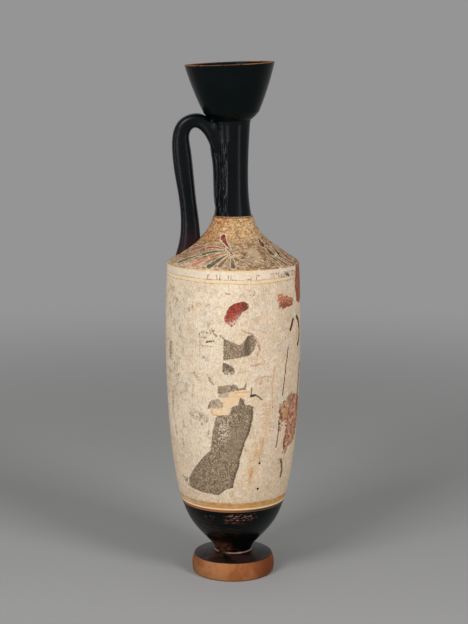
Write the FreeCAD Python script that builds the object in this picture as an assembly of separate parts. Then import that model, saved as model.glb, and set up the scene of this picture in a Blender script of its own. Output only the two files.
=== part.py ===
import FreeCAD, Part
import math
import os

# Oil jug with a disc foot, a tall body, a sloping shoulder, a slim neck,
# a flaring mouth and one strap handle, all of fired clay and all one piece.
# Millimetres, +Z up. The origin is the middle of the plane it stands on,
# and the handle is on the -X side.

# Foot: a disc with a bulging edge, a low domed top and a hollow underside
foot_edge_height = 13.8
foot_rest_radius = 30.2
foot_top_radius = 29.2
foot_edge_bulge = 1.2
foot_lower_bevel = 0.7
foot_upper_bevel = 0.3
foot_top_rise = 2.8
rest_ring_width = 8.0
underside_rise = 5.0
underside_boss_radius = 4.0

# Stem: a narrow collar between foot and body, with a groove round its joint
stem_base_radius = 14.4
stem_radius = 13.9
stem_waist_height = 1.0
stem_joint_groove = 0.5
stem_flare_width = 3.3
stem_flare_height = 6.0

# Body, from the waist of the stem to the corner of the shoulder
body_height = 219.0
body_radius = 50.1
belly_height = 164.8
corner_radius = 48.6
corner_rounding = 3.2

# Shoulder, from the corner to the collar at the base of the neck
shoulder_rise = 34.2
shoulder_bend_radius = 28.5
shoulder_bend_rise = 13.9
collar_radius = 14.3

# Neck, a little off centre and leaning towards the handle
neck_offset = 0.25
neck_lean_deg = 0.56
neck_length = 70.0
neck_base_radius = 14.0
neck_waist_radius = 11.55
neck_waist_height = 25.0
neck_flare_height = 4.0
neck_flare_radius = 13.3
neck_top_radius = 15.2
neck_sink = 2.0

# Mouth, tilted against the neck
mouth_tilt_deg = 2.7
mouth_tilt_heading_deg = 213.0
mouth_height = 40.0
mouth_base_radius = 12.4
mouth_shoulder_height = 4.8
mouth_shoulder_radius = 20.2
mouth_shoulder_bulge = 0.5
mouth_rim_radius = 32.7
mouth_side_bulge = 0.8
lip_width = 3.4
lip_bevel = 0.4
cup_floor_height = 8.5
cup_floor_radius = 13.5
cup_funnel_depth = 6.8

# Wall, floor and bore
wall = 4.6
shoulder_wall = 5.0
floor_height = 14.6
floor_radius = 13.0
bore_radius = 7.6

# Strap handle, in the plane y = 0. Each station is a section of the strap:
# its distance from the axis, its height above the shoulder's corner, the way
# the strap runs there (90 is up, 0 is level towards the neck), and the
# strap's thickness and width.
handle_stations = {
    "in the shoulder": (33.3, -14.0, 93, 18.5, 21.0),
    "foot": (32.7, 9.0, 92, 17.0, 19.5),
    "lower bend": (31.6, 28.0, 91, 13.6, 17.0),
    "back": (34.8, 57.5, 97, 13.2, 16.4),
    "upper back": (37.9, 85.5, 91, 13.2, 16.2),
    "outer bend": (35.6, 98.2, 46, 11.8, 16.2),
    "crown": (27.6, 103.0, 2, 10.5, 16.8),
    "inner bend": (20.6, 100.2, -12, 12.2, 18.0),
    "at the neck": (15.6, 93.6, 0, 24.6, 18.5),
    "in the neck": (9.0, 90.0, 6, 32.0, 16.0),
}
handle_squareness = 0.92

# Tail of the handle, smeared down the neck below it and turned a little to
# the front. Its stations give the same five sizes.
tail_stations = {
    "in the handle": (13.2, 87.4, -90, 7.6, 9.0),
    "under the handle": (12.8, 79.4, -90, 6.8, 10.0),
    "upper neck": (12.2, 70.4, -90, 5.4, 10.0),
    "middle of the neck": (12.0, 59.4, -90, 5.0, 9.0),
    "lower neck": (12.0, 48.4, -90, 4.4, 7.6),
    "at the collar": (11.4, 38.4, -90, 3.0, 5.0),
}
tail_turn_deg = 12.0

# Heights worked out from the sizes above
stem_base_z = foot_edge_height + foot_top_rise
waist_z = stem_base_z + stem_waist_height
corner_z = waist_z + body_height
belly_z = waist_z + belly_height
neck_base_z = corner_z + shoulder_rise

# The body's outline from the belly down to the stem's flare. Each arc ends at
# a share of the height from the waist to the belly, and of the belly's radius.
lower_body = [(0.676, 0.972), (0.354, 0.862), (0.192, 0.719), (0.105, 0.549)]


def point(radius, z):
    """A point of an outline, in the plane y = 0."""
    return FreeCAD.Vector(radius, 0, z)


def way(degrees):
    """A direction in that plane: 0 points outwards and 90 up."""
    angle = math.radians(degrees)
    return FreeCAD.Vector(math.cos(angle), 0, math.sin(angle))


def right_of(direction):
    return FreeCAD.Vector(direction.z, 0, -direction.x).normalize()


def line(start, end):
    return Part.makeLine(start, end)


def lines(places):
    return [line(start, end) for start, end in zip(places, places[1:])]


def bulged(start, end, bulge):
    """An arc that stands out of its chord by a bulge, to the right of its way."""
    middle = (start + end) * 0.5 + right_of(end - start) * bulge
    return Part.Arc(start, middle, end).toShape()


def leaving(direction, start, end):
    """An arc that leaves its start in a direction and runs to its end."""
    chord = end - start
    turn = math.atan2(direction.dot(right_of(chord)), direction.dot(chord) / chord.Length)
    return bulged(start, end, chord.Length / 2 * math.tan(turn / 2))


def way_at_end(edge):
    return edge.tangentAt(edge.LastParameter)


def chain(direction, start, places):
    """Arcs through places, each leaving in the way in which the last arrived."""
    edges = []
    for place in places:
        edges.append(leaving(direction, start, place))
        direction = way_at_end(edges[-1])
        start = place
    return edges


def beside(edge, distance, first=0.0, last=1.0):
    """An arc parallel to a stretch of an arc, at a distance to the right of its way."""
    reach = edge.LastParameter - edge.FirstParameter
    points = []
    for share in (first, (first + last) / 2, last):
        parameter = edge.FirstParameter + reach * share
        points.append(edge.valueAt(parameter) + right_of(edge.tangentAt(parameter)) * distance)
    return Part.Arc(*points).toShape()


def rounding(corner, way_in, way_out, radius):
    """The arc that rounds a corner off, given the ways of its two sides."""
    reach = radius * math.tan(way_in.getAngle(way_out) / 2)
    return leaving(way_in, corner - way_in * reach, corner + way_out * reach)


def bevel(corner, way_in, way_out, reach):
    """The straight cut that takes a corner off, the same length from both its sides."""
    return line(corner - way_in * reach, corner + way_out * reach)


def start_of(edge):
    return edge.valueAt(edge.FirstParameter)


def end_of(edge):
    return edge.valueAt(edge.LastParameter)


def turned(edges):
    """The solid that an outline sweeps round the Z axis, closed along that axis."""
    low = point(0, min(vertex.Z for edge in edges for vertex in edge.Vertexes if abs(vertex.X) < 1e-6))
    high = point(0, max(vertex.Z for edge in edges for vertex in edge.Vertexes if abs(vertex.X) < 1e-6))
    face = Part.Face(Part.Wire(edges + [line(high, low)]))
    return face.revolve(FreeCAD.Vector(0, 0, 0), FreeCAD.Vector(0, 0, 1), 360)


def shoulder_bend():
    """Where the straight slope of the shoulder starts to steepen."""
    return point(shoulder_bend_radius, corner_z + shoulder_bend_rise)


def slope_way():
    return (shoulder_bend() - point(corner_radius, corner_z)).normalize()


def corner_arc():
    """The rounding between body and shoulder."""
    corner = point(corner_radius, corner_z)
    side = leaving(way(90), point(body_radius, belly_z), corner)
    return rounding(corner, way_at_end(side), slope_way(), corner_rounding)


def lower_edges():
    """The body's outline from the belly down to the waist of the stem."""
    places = [point(body_radius * width, waist_z + belly_height * rise) for rise, width in lower_body]
    flare = point(stem_radius + stem_flare_width, waist_z + stem_flare_height)
    return chain(way(-90), point(body_radius, belly_z), places + [flare, point(stem_radius, waist_z)])


def upper_edge():
    """The body's outline from the belly up to the corner."""
    return leaving(way(90), point(body_radius, belly_z), start_of(corner_arc()))


def foot_and_stem():
    """The disc and the collar that rises from it, up to the waist of the stem."""
    ring_inside = point(foot_rest_radius - rest_ring_width, 0)
    rest = point(foot_rest_radius, 0)
    top = point(foot_top_radius, foot_edge_height)
    groove = point(stem_base_radius + stem_joint_groove, stem_base_z - stem_joint_groove)
    collar = point(stem_base_radius, stem_base_z)
    waist = point(stem_radius, waist_z)
    boss = point(underside_boss_radius, underside_rise)
    edge = bulged(rest, top, foot_edge_bulge)
    lower = bevel(rest, way(0), edge.tangentAt(edge.FirstParameter), foot_lower_bevel)
    upper = bevel(top, way_at_end(edge), (groove - top).normalize(), foot_upper_bevel)
    return turned([
        line(point(0, underside_rise), boss),
        line(boss, ring_inside),
        line(ring_inside, start_of(lower)),
        lower,
        leaving((end_of(lower) - rest).normalize(), end_of(lower), start_of(upper)),
        upper,
        line(end_of(upper), groove),
        line(groove, collar),
        line(collar, waist),
        line(waist, point(0, waist_z)),
    ])


def body_and_shoulder():
    """The body from the waist of the stem up to the collar, solid for now."""
    corner = corner_arc()
    bend = shoulder_bend()
    collar = point(collar_radius, neck_base_z)
    return turned(
        [line(point(0, waist_z), point(stem_radius, waist_z))]
        + list(reversed(lower_edges()))
        + [upper_edge(), corner, line(end_of(corner), bend), leaving(slope_way(), bend, collar)]
        + [line(collar, point(0, neck_base_z))]
    )


def body_cavity():
    """The hollow of the body, a wall's thickness inside the outline, with a flat floor."""
    belly, *lower = [beside(edge, wall) for edge in lower_edges()[:len(lower_body)]]
    upper = beside(upper_edge(), -wall)
    floor_z = waist_z + floor_height
    basin = [point(0, floor_z), point(floor_radius, floor_z)]
    basin += [end_of(edge) for edge in reversed(lower)] + [end_of(belly)]
    under_slope = shoulder_bend() - right_of(slope_way()) * shoulder_wall
    return turned(
        lines(basin)
        + [belly, upper]
        + lines([end_of(upper), under_slope, point(0, neck_base_z)])
    )


def on_neck(shape):
    """Moves a shape from its own upright axis to the neck's leaning one."""
    shape.rotate(FreeCAD.Vector(0, 0, 0), FreeCAD.Vector(0, 1, 0), -neck_lean_deg)
    shape.translate(point(-neck_offset, neck_base_z))
    return shape


def on_mouth(shape):
    """Moves a shape from its own upright axis to the mouth's tilted one."""
    neck_top = way(90 + neck_lean_deg) * neck_length + point(-neck_offset, neck_base_z)
    shape.rotate(FreeCAD.Vector(0, 0, 0), FreeCAD.Vector(0, 1, 0), mouth_tilt_deg)
    shape.rotate(FreeCAD.Vector(0, 0, 0), FreeCAD.Vector(0, 0, 1), mouth_tilt_heading_deg)
    shape.translate(neck_top)
    return shape


def neck():
    """A waisted tube, solid for now, with its ends sunk into shoulder and mouth."""
    waist = point(neck_waist_radius, neck_waist_height)
    flare = point(neck_flare_radius, neck_length - neck_flare_height)
    top = point(neck_top_radius, neck_length + neck_sink)
    foot = point(neck_base_radius, -shoulder_wall / 2)
    upper = leaving(way(90), waist, flare)
    return on_neck(turned([
        line(point(0, foot.z), foot),
        leaving(way(-90), waist, foot),
        upper,
        leaving(way_at_end(upper), flare, top),
        line(top, point(0, top.z)),
    ]))


def mouth():
    """The flaring mouth with a round underside and a flat lip, solid for now."""
    base = point(mouth_base_radius, -neck_sink)
    shoulder = point(mouth_shoulder_radius, mouth_shoulder_height)
    rim = point(mouth_rim_radius, mouth_height)
    lip = bevel(rim, way_at_end(bulged(shoulder, rim, mouth_side_bulge)), way(180), lip_bevel)
    return on_mouth(turned([
        line(point(0, base.z), base),
        bulged(base, shoulder, mouth_shoulder_bulge),
        bulged(shoulder, start_of(lip), mouth_side_bulge),
        lip,
        line(end_of(lip), point(0, mouth_height)),
    ]))


def mouth_cavity():
    """The cup of the mouth, with a funnel down into the bore."""
    lip = point(mouth_rim_radius - lip_width, mouth_height)
    floor = point(cup_floor_radius, cup_floor_height)
    brim = bevel(lip, (lip - floor).normalize(), way(0), lip_bevel)
    above = mouth_height + lip_width
    return on_mouth(turned(lines([
        point(0, cup_floor_height - cup_funnel_depth),
        floor,
        start_of(brim),
        end_of(brim),
        point(end_of(brim).x, above),
        point(0, above),
    ])))


def bore():
    """The narrow way through the neck, from the cup's funnel to the body."""
    below = shoulder_rise / 2
    tube = Part.makeCylinder(bore_radius, below + neck_length + cup_floor_height)
    tube.translate(FreeCAD.Vector(0, 0, -below))
    return on_neck(tube)


def strap_section(away, up, heading, thickness, width):
    """One closed outline of the strap, nearly flat on its sides with round corners."""
    centre = point(-away, corner_z + up)
    outward = way(heading + 90) * thickness / 2
    across = FreeCAD.Vector(0, width / 2, 0)
    reach = 3 / (2 + handle_squareness)
    corner = reach * handle_squareness
    sides = [(reach, 0), (corner, corner), (0, reach), (-corner, corner)]
    sides += [(-out, -side) for out, side in sides]
    curve = Part.BSplineCurve()
    curve.buildFromPoles([centre + outward * out + across * side for out, side in sides], True, 3)
    return Part.Wire([curve.toShape()])


def strap(stations):
    """A strap lofted through its stations, with both ends sunk in the clay."""
    sections = [strap_section(*station) for station in stations.values()]
    return Part.makeLoft(sections, True, False, False, 3)


def tail():
    """The clay that was pressed down the neck where the handle joins it."""
    smear = strap(tail_stations)
    smear.rotate(FreeCAD.Vector(0, 0, 0), FreeCAD.Vector(0, 0, 1), tail_turn_deg)
    return smear


def lekythos():
    clay = foot_and_stem().fuse([body_and_shoulder(), neck(), mouth(), strap(handle_stations), tail()])
    hollow = body_cavity().fuse([bore(), mouth_cavity()])
    return clay.cut(hollow).removeSplitter()


os.makedirs("parts", exist_ok=True)
lekythos().exportStep("parts/lekythos.step")
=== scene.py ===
import math

import bpy
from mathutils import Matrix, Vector


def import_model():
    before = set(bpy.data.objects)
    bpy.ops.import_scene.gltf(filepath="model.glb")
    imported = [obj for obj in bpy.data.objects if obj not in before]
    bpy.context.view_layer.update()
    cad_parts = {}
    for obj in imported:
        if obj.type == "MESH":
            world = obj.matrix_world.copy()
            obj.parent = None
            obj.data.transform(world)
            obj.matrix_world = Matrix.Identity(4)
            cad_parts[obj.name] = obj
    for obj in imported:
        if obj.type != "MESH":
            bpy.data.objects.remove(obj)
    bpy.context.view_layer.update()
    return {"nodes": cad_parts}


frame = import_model()

MM = 1000.0              # the painting is laid out in millimetres, the scene is in metres
SMALL = 1e-6             # keeps a level curve from being divided by nothing
LEAF_HALO = 0.62         # how far a leaf's pale outline covers what is below it


# ---- nodes ----

def rgb(red, green, blue):
    """Linear colour of a colour written in 0 to 255."""
    def linear(v):
        v /= 255
        return v / 12.92 if v <= 0.04045 else ((v + 0.055) / 1.055) ** 2.4
    return (linear(red), linear(green), linear(blue), 1.0)


class Nodes:
    """Short calls that add nodes to one tree, in the order in which the paint is laid on."""

    def __init__(self, tree):
        self.tree = tree
        tree.nodes.clear()

    def add(self, kind, **settings):
        node = self.tree.nodes.new("ShaderNode" + kind)
        for name, value in settings.items():
            setattr(node, name, value)
        return node

    def feed(self, socket, value):
        if isinstance(value, bpy.types.NodeSocket):
            self.tree.links.new(value, socket)
        elif value is not None:
            socket.default_value = value

    def math(self, operation, a, b=None, c=None):
        node = self.add("Math", operation=operation)
        for socket, value in zip(node.inputs, (a, b, c)):
            self.feed(socket, value)
        return node.outputs[0]

    def plus(self, a, b):
        return self.math("ADD", a, b)

    def minus(self, a, b):
        return self.math("SUBTRACT", a, b)

    def times(self, product, *factors):
        for factor in factors:
            product = self.math("MULTIPLY", product, factor)
        return product

    def along(self, operation, a, b=None, scale=None):
        node = self.add("VectorMath", operation=operation)
        self.feed(node.inputs[0], a)
        if b is not None:
            self.feed(node.inputs[1], b)
        if scale is not None:
            self.feed(node.inputs["Scale"], scale)
        is_number = operation in ("DOT_PRODUCT", "LENGTH", "DISTANCE")
        return node.outputs["Value" if is_number else "Vector"]

    def mix(self, share, a, b, strength=None):
        """Colour a, with colour b laid over it where share is 1, at that strength."""
        if strength is not None:
            share = self.times(share, strength)
        node = self.add("Mix", data_type="RGBA", clamp_factor=True)
        self.feed(node.inputs[0], share)
        self.feed(node.inputs[6], a)             # 6, 7 and 2 are the node's colour sockets
        self.feed(node.inputs[7], b)
        return node.outputs[2]

    def blend(self, share, a, b):
        """Number a where share is 0, b where it is 1."""
        node = self.add("Mix", data_type="FLOAT", clamp_factor=True)
        self.feed(node.inputs[0], share)
        self.feed(node.inputs[2], a)
        self.feed(node.inputs[3], b)
        return node.outputs[0]

    def step(self, value, low, high):
        """0 at low and 1 at high, smooth between them; low may be the greater."""
        node = self.add("MapRange", interpolation_type="SMOOTHSTEP", clamp=False)
        self.feed(node.inputs[0], value)
        self.feed(node.inputs[1], low)
        self.feed(node.inputs[2], high)
        return node.outputs[0]

    def within(self, value, low, high, soft):
        """1 between low and high, with soft edges."""
        return self.times(self.step(value, low - soft, low + soft), self.step(value, high + soft, high - soft))

    def use(self, group, *values):
        """Sets a group of nodes to work, with its inputs in order."""
        node = self.add("Group", node_tree=group)
        for socket, value in zip(node.inputs, values):
            self.feed(socket, value)
        return node.outputs[0]

    def noise(self, place, size, detail=2.0, roughness=0.5, distortion=0.0, output=0):
        """Noise from 0 to 1 with features of about that size, as a number or as output says."""
        node = self.add("TexNoise")
        self.feed(node.inputs["Vector"], place)
        node.inputs["Scale"].default_value = 1 / size
        node.inputs["Detail"].default_value = detail
        node.inputs["Roughness"].default_value = roughness
        node.inputs["Distortion"].default_value = distortion
        return node.outputs[output]

    def stretched(self, place, x, y, z):
        return self.along("MULTIPLY", place, (x, y, z))

    def curve(self, value, points):
        """A straight-edged line through (place, value) pairs, as a Float Curve; flat beyond its ends."""
        first, last = points[0][0], points[-1][0]
        low = min(v for _, v in points)
        span = max(max(v for _, v in points) - low, SMALL)
        node = self.add("FloatCurve")
        line = node.mapping.curves[0]
        for place, height in points[1:-1]:
            line.points.new((place - first) / (last - first), (height - low) / span)
        line.points[0].location = (0, (points[0][1] - low) / span)
        line.points[-1].location = (1, (points[-1][1] - low) / span)
        for point in line.points:
            point.handle_type = "VECTOR"
        node.mapping.extend = "HORIZONTAL"
        node.mapping.update()
        share = self.math("MULTIPLY_ADD", value, 1 / (last - first), -first / (last - first))
        self.feed(node.inputs["Value"], share)
        return self.math("MULTIPLY_ADD", node.outputs[0], span, low)


def new_material(name):
    material = bpy.data.materials.new(name)
    material.use_nodes = True
    return material


def group(name, inputs, output, build):
    """A group of nodes: inputs has the sockets' names by kind, and build turns the sockets into the output."""
    kinds = {"number": "NodeSocketFloat", "way": "NodeSocketVector", "tint": "NodeSocketColor"}
    tree = bpy.data.node_groups.new(name, "ShaderNodeTree")
    for kind, labels in inputs.items():
        for label in labels.split():
            tree.interface.new_socket(name=label, in_out="INPUT", socket_type=kinds[kind])
    tree.interface.new_socket(name="result", in_out="OUTPUT", socket_type=kinds[output])
    n = Nodes(tree)
    given = tree.nodes.new("NodeGroupInput")
    result = build(n, *given.outputs[:-1])       # the last socket is the empty one
    n.feed(tree.nodes.new("NodeGroupOutput").inputs[0], result)
    return tree


def nearest_way(n, field, start, way, unit):
    """How far along a straight stroke a place lies, from 0 to 1, and its distance from the stroke."""
    from_start = n.along("SUBTRACT", field, start)
    share = n.along("DOT_PRODUCT", from_start, unit)
    share = n.math("MINIMUM", n.math("MAXIMUM", share, 0.0), 1.0)
    return share, n.along("DISTANCE", from_start, n.along("SCALE", way, scale=share))


def segment_group():
    return group(
        "segment", {"way": "field start way unit"}, "number",
        lambda n, field, start, way, unit: nearest_way(n, field, start, way, unit)[1])


def brush_group():
    """Lays a stroke on the shade, given the distance from its middle line."""
    def build(n, shade, tint, away, outer, inner, strength):
        return n.mix(n.times(n.step(away, outer, inner), strength), shade, tint)
    return group("brush", {"tint": "shade tint", "number": "away outer inner strength"}, "tint", build)


def leaf_group():
    """Lays a leaf on the shade: narrow at its start, broad and round at its tip, in a pale outline."""
    def build(n, shade, tint, field, start, way, unit, root, growth, strength, where):
        share, away = nearest_way(n, field, start, way, unit)
        over = n.minus(away, n.math("MULTIPLY_ADD", share, growth, root))
        halo = n.times(n.step(over, 1.0, 0.45), where, strength, LEAF_HALO)
        shade = n.mix(halo, shade, rgb(230, 208, 174))
        return n.mix(n.times(n.step(over, 0.25, -0.2), where, strength), shade, tint)
    inputs = {"tint": "shade tint", "way": "field start way unit", "number": "root growth strength where"}
    return group("leaf", inputs, "tint", build)


def field_group():
    """1 between two edges and within a reach."""
    def build(n, across, up, left, right, low, high, soft):
        def over(value):
            return n.step(value, n.times(soft, -1.0), soft)
        inside = n.times(over(n.minus(across, left)), over(n.minus(right, across)))
        return n.times(inside, over(n.minus(up, low)), over(n.minus(high, up)))
    return group("field", {"number": "across up left right low high soft"}, "number", build)


# ---- camera, lamps and stage ----

CAMERA_PLACE = (0.0007, -1.140, 0.391)       # metres
CAMERA_PITCH_DEG = 9.585     # looks down by this
FRAME_HEIGHT_PX = 624
FOCAL_PX = 1559
SENSOR_MM = 36.0

BACKDROP = (0.30, 0.30, 0.30, 1.0)   # linear grey that the camera sees behind the vase
AMBIENT = (0.24, 0.24, 0.24, 1.0)    # light that comes from all round
PAPER = rgb(168, 168, 167)           # the floor
FLOOR_RADIUS = 3.0
FLOOR_CORNERS = 64
FLOOR_FADE = (0.35, 1.3)     # the floor turns into the backdrop between these radii

LAMP_AIM = Vector((0, 0, 0.2))
LAMPS = [                    # name, degrees right of the camera and up, distance, width and height, watts
    ("key", -36, 34, 1.5, 0.5, 0.7, 10.6),
    ("fill", 42, 30, 1.7, 0.5, 0.8, 13.0),
    ("left_strip", -28, 0, 1.5, 0.38, 0.6, 2.8),
    ("right_strip", 50, 0, 1.5, 0.26, 0.6, 1.8),
    ("left_side", -66, 2, 1.5, 0.14, 0.7, 2.4),
]


def camera():
    data = bpy.data.cameras.new("camera")
    data.sensor_fit = "VERTICAL"
    data.sensor_height = SENSOR_MM
    data.lens = SENSOR_MM * FOCAL_PX / FRAME_HEIGHT_PX
    thing = bpy.data.objects.new("camera", data)
    thing.location = CAMERA_PLACE
    thing.rotation_euler = (math.radians(90 - CAMERA_PITCH_DEG), 0, 0)
    bpy.context.collection.objects.link(thing)
    bpy.context.scene.camera = thing


def seen_directly(n):
    """1 for the rays that show the backdrop: the camera's, and those that gloss or glass sends on."""
    path = n.add("LightPath")
    rays = n.math("MAXIMUM", path.outputs["Is Camera Ray"], path.outputs["Is Glossy Ray"])
    return n.math("MAXIMUM", rays, path.outputs["Is Transmission Ray"])


def two_ways(n, lit, shown_kind, share, output):
    """Feeds the lit shader to the output, and the backdrop's own light where share is 1."""
    shown = n.add(shown_kind)
    shown.inputs[0].default_value = BACKDROP
    both = n.add("MixShader")
    n.feed(both.inputs[0], share)
    n.feed(both.inputs[1], lit.outputs[0])
    n.feed(both.inputs[2], shown.outputs[0])
    n.feed(n.add(output).inputs[0], both.outputs[0])


def floor_material():
    material = new_material("pale_floor")
    n = Nodes(material.node_tree)
    place = n.add("TexCoord").outputs["Object"]
    far = n.step(n.along("LENGTH", place), *FLOOR_FADE)
    paper = n.add("BsdfDiffuse")
    paper.inputs[0].default_value = PAPER
    share = n.times(far, seen_directly(n))
    two_ways(n, paper, "Emission", share, "OutputMaterial")
    return material


def stage():
    mesh = bpy.data.meshes.new("floor")
    turns = [math.tau * i / FLOOR_CORNERS for i in range(FLOOR_CORNERS)]
    rim = [(FLOOR_RADIUS * math.cos(t), FLOOR_RADIUS * math.sin(t), 0) for t in turns]
    mesh.from_pydata(rim, [], [tuple(range(FLOOR_CORNERS))])
    floor = bpy.data.objects.new("floor", mesh)
    bpy.context.collection.objects.link(floor)
    mesh.materials.append(floor_material())


def world():
    sky = bpy.data.worlds.new("world")
    bpy.context.scene.world = sky
    sky.use_nodes = True
    n = Nodes(sky.node_tree)
    ambient = n.add("Background")
    ambient.inputs[0].default_value = AMBIENT
    two_ways(n, ambient, "Background", seen_directly(n), "OutputWorld")


def lamp(name, turn_deg, rise_deg, distance, width, height, power):
    """A soft box that looks at the vase's middle."""
    turn = math.radians(turn_deg)
    rise = math.radians(rise_deg)
    way = Vector((math.sin(turn) * math.cos(rise), -math.cos(turn) * math.cos(rise), math.sin(rise)))
    data = bpy.data.lights.new(name, "AREA")
    data.shape = "RECTANGLE"
    data.size = width
    data.size_y = height
    data.energy = power
    thing = bpy.data.objects.new(name, data)
    thing.location = LAMP_AIM + way * distance
    thing.rotation_euler = (-way).to_track_quat("-Z", "Y").to_euler()
    bpy.context.collection.objects.link(thing)


# ---- the vase's surface: heights, then sizes and finish, in millimetres ----

FOOT_TOP = 13.7          # the upper rim of the foot's bare edge
JOINT = 16.9             # where the stem meets the foot
BLACK_TOP = 55.8         # where the white ground gives way to black below
BROWN_BAND = (55.0, 57.8)    # the three lines above the black
CREAM_BAND = (57.9, 58.9)
OCHRE_BAND = (59.0, 63.4)
TIRED_BAND = (61.4, 63.6)    # the ochre band's worn upper edge
DOUBLE_LINE = 226.3      # its lower line's height, where it is lowest
LINE_GAP = 2.6           # between its two lines
KEY_BAND = (228.5, 235.4)    # the meander's pale field
KEY_FOOT = 229.6         # where the meander's strokes stand
KEY_PITCH = 2.1          # between two of its strokes
EDGE_LINE = (234.9, 236.2)   # the line along the corner
CORNER = 236.0           # the shoulder's edge
NECK_BASE = 270.8        # where the black neck meets the shoulder
NECK_TOP = 341.0
SMEAR = (274, 322)       # the clay smeared down the neck
MOUTH_BASE = (-0.93, 0.0, 340.8)
MOUTH_AXIS = (-0.0395, -0.0257, 0.99889)
LIP = 39.55              # height of the lip's top over the mouth's base, along its axis
DEGREE = 0.8727          # millimetres of the body's side in one degree
FOOT_RADIUS = 28.7       # of the foot's bare edge
PATCH_EDGE = 0.4         # half the softness of a painted field's edge
LEAF_ROOT = 0.7          # a leaf's width at its start
FINE_SIZE = 1.0          # the sizes of the three noises that all coats share
SPOT_SIZE = 3.2
CLOUD_SIZE = 17.0
RAGGED_SIZE = 1.7        # the noise that makes strokes ragged, and how far it moves their edges
RAGGED_REACH = 1.5
SPECULAR = 0.14
MATT = (0.55, 0.75)      # roughness of slip and clay
SHEEN = (0.18, 0.3)      # roughness of the black
SMEAR_SHEEN = 0.12       # roughness of the smear on the neck
SMEAR_FOLDS = 18.0       # how deep its folds are against the wheel marks
BUMP_STRENGTH = 0.4
BUMP_DISTANCE = 0.0003   # metres

CREAM = rgb(236, 217, 190)
CREAM_PALE = rgb(246, 232, 210)
CREAM_TAN = rgb(220, 193, 163)
CREAM_RIGHT = rgb(229, 204, 174)
CREAM_GREY = rgb(204, 186, 162)
GREY_WHITE = rgb(222, 210, 194)
FLECK = rgb(198, 150, 104)
# a grey-brown for stains, and also for the painted shade at the side's edges
STAIN_AND_SHADE = rgb(166, 145, 120)
TAN = rgb(176, 147, 116)
TAN_DARK = rgb(126, 98, 72)
ORANGE_STAIN = rgb(186, 118, 62)
YELLOW_STAIN = rgb(208, 160, 96)
OCHRE = rgb(204, 146, 76)
OCHRE_PALE = rgb(228, 186, 116)
OCHRE_WASH = rgb(214, 166, 112)
PEACH = rgb(233, 196, 148)
ORANGE = rgb(216, 148, 90)
PINK = rgb(200, 104, 86)
RED = rgb(172, 62, 44)
RED_DARK = rgb(112, 40, 34)
RED_LINE = rgb(136, 70, 54)
RED_FAINT = rgb(198, 128, 104)
RED_BROWN = rgb(154, 80, 56)
CRIMSON = rgb(136, 34, 50)
GREY_BROWN = rgb(128, 108, 88)
DARK_BROWN = rgb(70, 56, 45)
GREEN_GREY = rgb(66, 66, 46)
GREEN_BROWN = rgb(58, 54, 42)
# painted light and shade of the bare clay: lighter where it is lit at the front left, darker in shade to the
# right
CLAY_LIT = rgb(166, 108, 68)
CLAY = rgb(152, 90, 49)
CLAY_SHADED = rgb(112, 58, 30)
CLAY_STRIP = rgb(162, 92, 68)
BLACK = rgb(0, 7, 7)
BLACK_BROWN = rgb(60, 35, 25)
BLACK_BLUE = rgb(8, 12, 16)


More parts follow.
